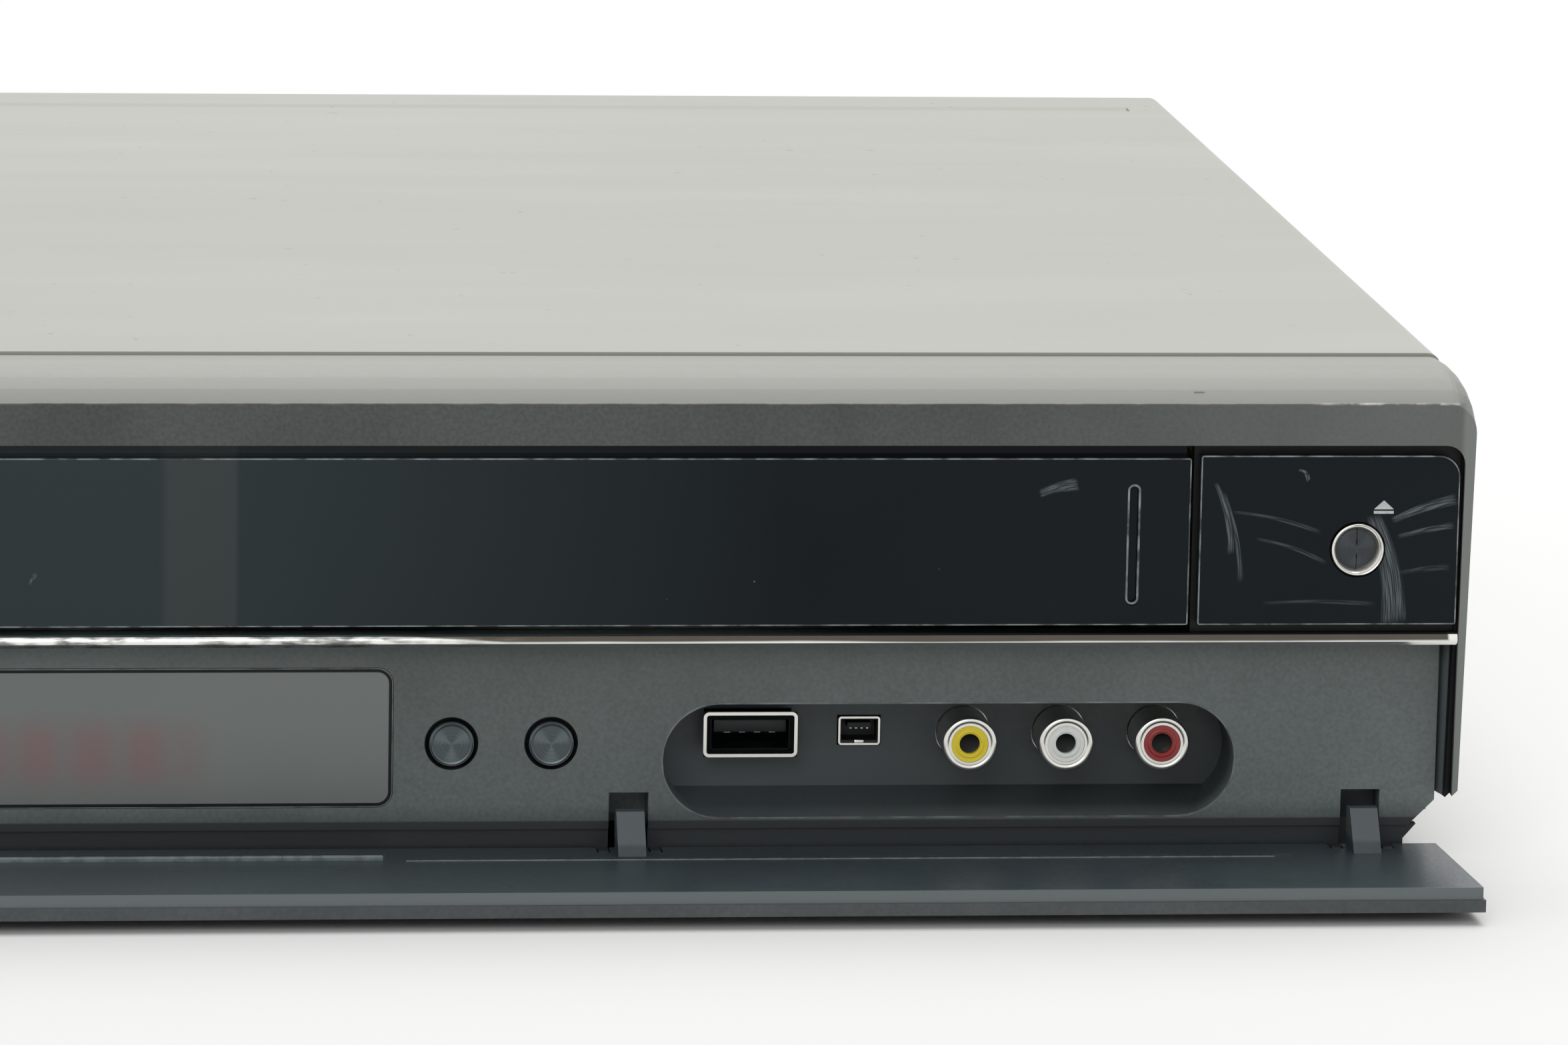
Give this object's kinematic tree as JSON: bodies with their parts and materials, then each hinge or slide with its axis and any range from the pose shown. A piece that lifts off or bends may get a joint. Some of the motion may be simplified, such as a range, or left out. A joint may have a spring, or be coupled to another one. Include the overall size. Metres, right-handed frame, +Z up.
{
  "type": "dvd vcr combo player",
  "caption": "Low combined disc player and video cassette recorder with a drop-down flap open over front sockets, display and round buttons, a disc tray and a cassette door.",
  "frame": {"origin": "centre of the bounding box on the table, with the flap open and the disc tray shut", "axes": "+X to the right as seen from the front, +Y to the back, +Z up"},
  "size_m": [0.43, 0.3442, 0.08],
  "materials": {
    "cover_paint": "satin",
    "sheet_steel": "plain zinc",
    "dark_plastic": "fine matt",
    "inner_plastic": "matt",
    "gloss_black": "polished",
    "smoked_window": "polished, smoked",
    "bright_trim": "polished",
    "button_metal": "turned",
    "jack_metal": "plated",
    "yellow_plastic": "polished",
    "white_plastic": "polished",
    "red_plastic": "polished",
    "display_glass": "dark",
    "board_green": "satin",
    "board_tan": "satin",
    "rubber_black": "matt",
    "foot_plastic": "matt",
    "deck_alloy": "machined",
    "gear_plastic": "satin",
    "tray_plastic": "satin"
  },
  "bodies": {
    "case": {"base_chassis": "sheet_steel", "top_cover": "cover_paint", "rear_panel": "sheet_steel", "cover_screws": "sheet_steel", "feet": "foot_plastic", "front_bezel": "dark_plastic", "control_panel": "dark_plastic", "chrome_trim": "bright_trim", "power_block": "gloss_black", "eject_block": "gloss_black", "display_window": "smoked_window", "display_tube": "display_glass", "front_board": "board_green", "front_jack_shells": "jack_metal", "video_jack_insert": "yellow_plastic", "left_audio_jack_insert": "white_plastic", "right_audio_jack_insert": "red_plastic", "usb_port": "jack_metal", "dv_port": "inner_plastic", "hinge_pins": "sheet_steel", "drive_frame": "inner_plastic", "clamp_bridge": "sheet_steel", "deck_chassis": "sheet_steel", "cassette_brackets": "sheet_steel", "drum_base": "deck_alloy", "tape_posts": "bright_trim", "main_board": "board_green", "power_board": "board_tan", "rear_jack_block": "inner_plastic", "rear_jack_shells": "jack_metal", "tuner_box": "sheet_steel", "power_inlet": "inner_plastic", "fan_frame": "inner_plastic"},
    "flap": {"flap_panel": "dark_plastic", "flap_skin": "dark_plastic"},
    "tray": {"disc_tray": "tray_plastic", "tray_front": "gloss_black"},
    "gear": {"tray_gear": "gear_plastic"},
    "spindle_frame": {"traverse": "inner_plastic"},
    "spindle": {"turntable": "tray_plastic"},
    "sled": {"optical_sled": "inner_plastic"},
    "clamp": {"clamp_puck": "inner_plastic"},
    "door": {"vcr_door": "gloss_black"},
    "slider": {"basket_slider": "inner_plastic"},
    "basket": {"cassette_basket": "sheet_steel"},
    "drum": {"head_drum": "deck_alloy"},
    "capstan_shaft": {"capstan": "deck_alloy"},
    "roller_arm": {"pinch_arm": "sheet_steel"},
    "roller": {"pinch_roller": "rubber_black"},
    "supply": {"supply_reel": "gear_plastic"},
    "takeup": {"takeup_reel": "gear_plastic"},
    "fan": {"fan_rotor": "inner_plastic"},
    "power_key": {"power_button": "button_metal"},
    "eject_key": {"eject_button": "button_metal"},
    "source_key": {"source_button": "button_metal"},
    "resolution_key": {"resolution_button": "button_metal"},
    "record_key": {"record_button": "button_metal"},
    "stop_key": {"stop_button": "button_metal"},
    "play_key": {"play_button": "button_metal"},
    "pause_key": {"pause_button": "button_metal"}
  },
  "joints": [
    {"name": "flap_hinge", "type": "hinge", "parent": "case", "child": "flap", "pos_m": [0, -0.13887, 0.003], "axis": [-1, 0, 0], "range_deg": [0, 88]},
    {"name": "tray_slide", "type": "slide", "parent": "case", "child": "tray", "axis": [0, -1, 0], "range_m": [0, 0.14137]},
    {"name": "tray_gear_spin", "type": "hinge", "parent": "case", "child": "gear", "pos_m": [-0.14705, -0.10537, 0.0455], "axis": [0, 0, 1], "range_deg": [0, 811]},
    {"name": "spindle_lift", "type": "hinge", "parent": "case", "child": "spindle_frame", "pos_m": [-0.10105, 0.03363, 0.038], "axis": [-1, 0, 0], "range_deg": [0, 5]},
    {"name": "spindle_spin", "type": "hinge", "parent": "spindle_frame", "child": "spindle", "pos_m": [-0.10105, -0.061, 0.02972], "axis": [0, -0.0872, 0.9962], "continuous": true},
    {"name": "sled_slide", "type": "slide", "parent": "spindle_frame", "child": "sled", "axis": [0, 0.9962, 0.0872], "range_m": [0, 0.034]},
    {"name": "clamp_spin", "type": "hinge", "parent": "case", "child": "clamp", "pos_m": [-0.10105, -0.06137, 0.0575], "axis": [0, 0, 1], "continuous": true},
    {"name": "cassette_door_hinge", "type": "hinge", "parent": "case", "child": "door", "pos_m": [0.07085, -0.13737, 0.0699], "axis": [1, 0, 0], "range_deg": [0, 93], "stiffness_Nm_per_rad": 0.0015, "springref_deg": -28.65},
    {"name": "basket_slide", "type": "slide", "parent": "case", "child": "slider", "axis": [0, 1, 0], "range_m": [0, 0.06]},
    {"name": "basket_drop", "type": "slide", "parent": "slider", "child": "basket", "axis": [0, 0, -1], "range_m": [0, 0.012]},
    {"name": "drum_spin", "type": "hinge", "parent": "case", "child": "drum", "pos_m": [0.07085, 0.03663, 0.023], "axis": [0.1045, 0, 0.9945], "continuous": true},
    {"name": "capstan_spin", "type": "hinge", "parent": "case", "child": "capstan_shaft", "pos_m": [0.12285, 0.00463, 0.0182], "axis": [0, 0, 1], "continuous": true},
    {"name": "roller_arm_swing", "type": "hinge", "parent": "case", "child": "roller_arm", "pos_m": [0.14485, 0.01463, 0.0182], "axis": [0, 0, -1], "range_deg": [0, 19.5]},
    {"name": "roller_spin", "type": "hinge", "parent": "roller_arm", "child": "roller", "pos_m": [0.13535, -0.00512, 0.0282], "axis": [0, 0, 1], "continuous": true},
    {"name": "supply_spin", "type": "hinge", "parent": "case", "child": "supply", "pos_m": [0.02485, -0.06937, 0.0232], "axis": [0, 0, 1], "continuous": true},
    {"name": "takeup_spin", "type": "hinge", "parent": "case", "child": "takeup", "pos_m": [0.11685, -0.06937, 0.0232], "axis": [0, 0, 1], "continuous": true},
    {"name": "fan_spin", "type": "hinge", "parent": "case", "child": "fan", "pos_m": [0.046, 0.15763, 0.0441], "axis": [0, 1, 0], "continuous": true},
    {"name": "power_press", "type": "slide", "parent": "case", "child": "power_key", "axis": [0, 1, 0], "range_m": [0, 0.0006], "stiffness_N_per_m": 600},
    {"name": "eject_press", "type": "slide", "parent": "case", "child": "eject_key", "axis": [0, 1, 0], "range_m": [0, 0.0006], "stiffness_N_per_m": 600},
    {"name": "source_press", "type": "slide", "parent": "case", "child": "source_key", "axis": [0, 1, 0], "range_m": [0, 0.0006], "stiffness_N_per_m": 600},
    {"name": "resolution_press", "type": "slide", "parent": "case", "child": "resolution_key", "axis": [0, 1, 0], "range_m": [0, 0.0006], "stiffness_N_per_m": 600},
    {"name": "record_press", "type": "slide", "parent": "case", "child": "record_key", "axis": [0, 1, 0], "range_m": [0, 0.0006], "stiffness_N_per_m": 600},
    {"name": "stop_press", "type": "slide", "parent": "case", "child": "stop_key", "axis": [0, 1, 0], "range_m": [0, 0.0006], "stiffness_N_per_m": 600},
    {"name": "play_press", "type": "slide", "parent": "case", "child": "play_key", "axis": [0, 1, 0], "range_m": [0, 0.0006], "stiffness_N_per_m": 600},
    {"name": "pause_press", "type": "slide", "parent": "case", "child": "pause_key", "axis": [0, 1, 0], "range_m": [0, 0.0006], "stiffness_N_per_m": 600}
  ],
  "couplings": [
    {"joint": "tray_gear_spin", "follows": "tray_slide", "rad_per_m": 100}
  ]
}
